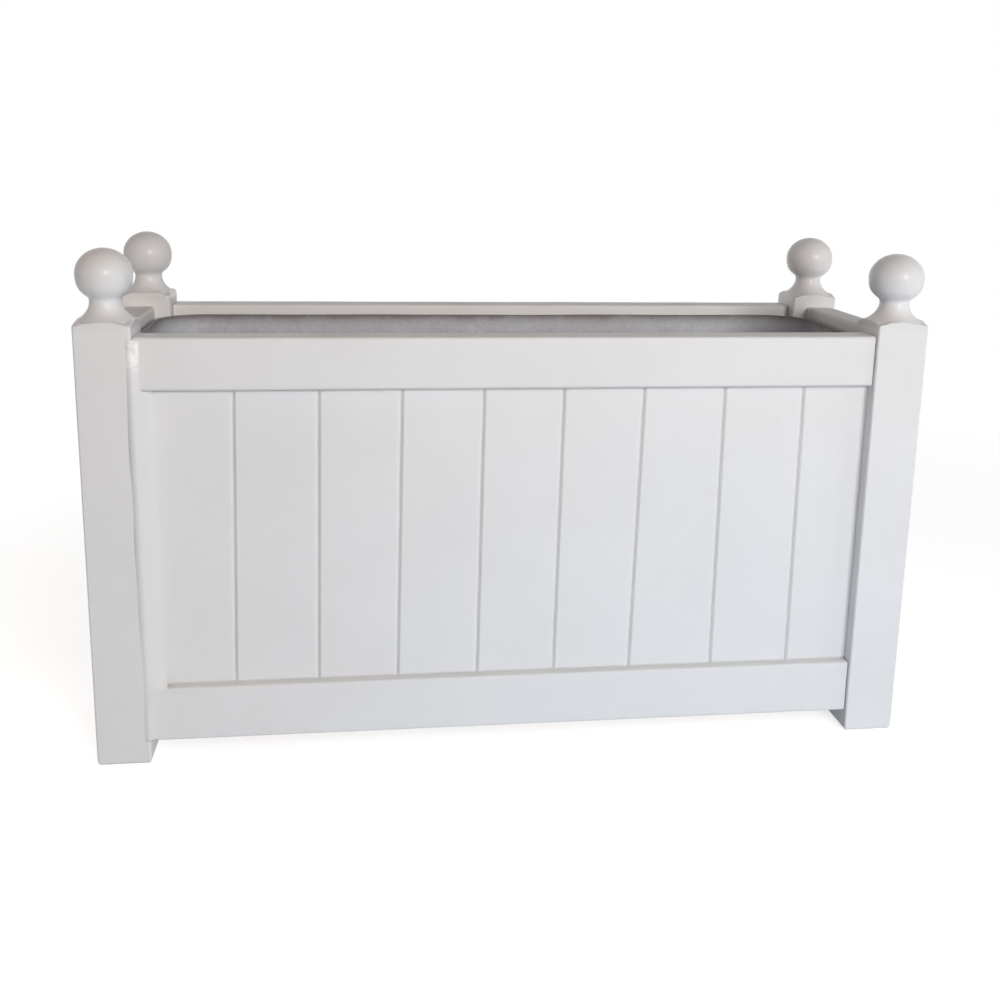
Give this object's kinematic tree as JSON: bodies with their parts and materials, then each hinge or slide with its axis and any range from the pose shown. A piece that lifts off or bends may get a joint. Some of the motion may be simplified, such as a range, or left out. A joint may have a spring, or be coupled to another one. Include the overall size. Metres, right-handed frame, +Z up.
{
  "type": "rectangular planter",
  "caption": "Long white-painted box planter: square corner posts with ball finials, plain rails, upright tongue-and-groove boards and a loose grey liner trough that lifts out.",
  "frame": {"origin": "on the ground, below the middle of the box", "axes": "+X along the length, +Y from the front to the back, +Z up"},
  "size_m": [1.0026, 0.3424, 0.6166],
  "materials": {
    "white_paint": "satin white paint",
    "bare_board": "sawn, untreated",
    "grey_liner": "moulded glass-fibre, mottled grey",
    "fastener_steel": "zinc plated"
  },
  "bodies": {
    "frame": {"post_front_left": "white_paint", "post_front_right": "white_paint", "post_back_right": "white_paint", "post_back_left": "white_paint", "finial_front_left": "white_paint", "finial_front_right": "white_paint", "finial_back_right": "white_paint", "finial_back_left": "white_paint", "top_rail_front": "white_paint", "top_rail_back": "white_paint", "top_rail_left": "white_paint", "top_rail_right": "white_paint", "bottom_rail_front": "white_paint", "bottom_rail_back": "white_paint", "bottom_rail_left": "white_paint", "bottom_rail_right": "white_paint", "front_board_1": "white_paint", "front_board_2": "white_paint", "front_board_3": "white_paint", "front_board_4": "white_paint", "front_board_5": "white_paint", "front_board_6": "white_paint", "front_board_7": "white_paint", "front_board_8": "white_paint", "front_board_9": "white_paint", "back_board_1": "white_paint", "back_board_2": "white_paint", "back_board_3": "white_paint", "back_board_4": "white_paint", "back_board_5": "white_paint", "back_board_6": "white_paint", "back_board_7": "white_paint", "back_board_8": "white_paint", "back_board_9": "white_paint", "left_board_1": "white_paint", "left_board_2": "white_paint", "right_board_1": "white_paint", "right_board_2": "white_paint", "floor_bearer_front": "bare_board", "floor_bearer_back": "bare_board", "floor_slat_1": "bare_board", "floor_slat_2": "bare_board", "floor_slat_3": "bare_board", "floor_slat_4": "bare_board", "floor_slat_5": "bare_board", "floor_slat_6": "bare_board", "finial_studs": "fastener_steel", "rail_screws": "fastener_steel", "bearer_screws": "fastener_steel", "slat_screws": "fastener_steel"},
    "liner": {"liner": "grey_liner"}
  },
  "joints": [
    {"name": "liner_lift", "type": "slide", "parent": "frame", "child": "liner", "axis": [0, 0, 1], "range_m": [0, 0.45]}
  ]
}
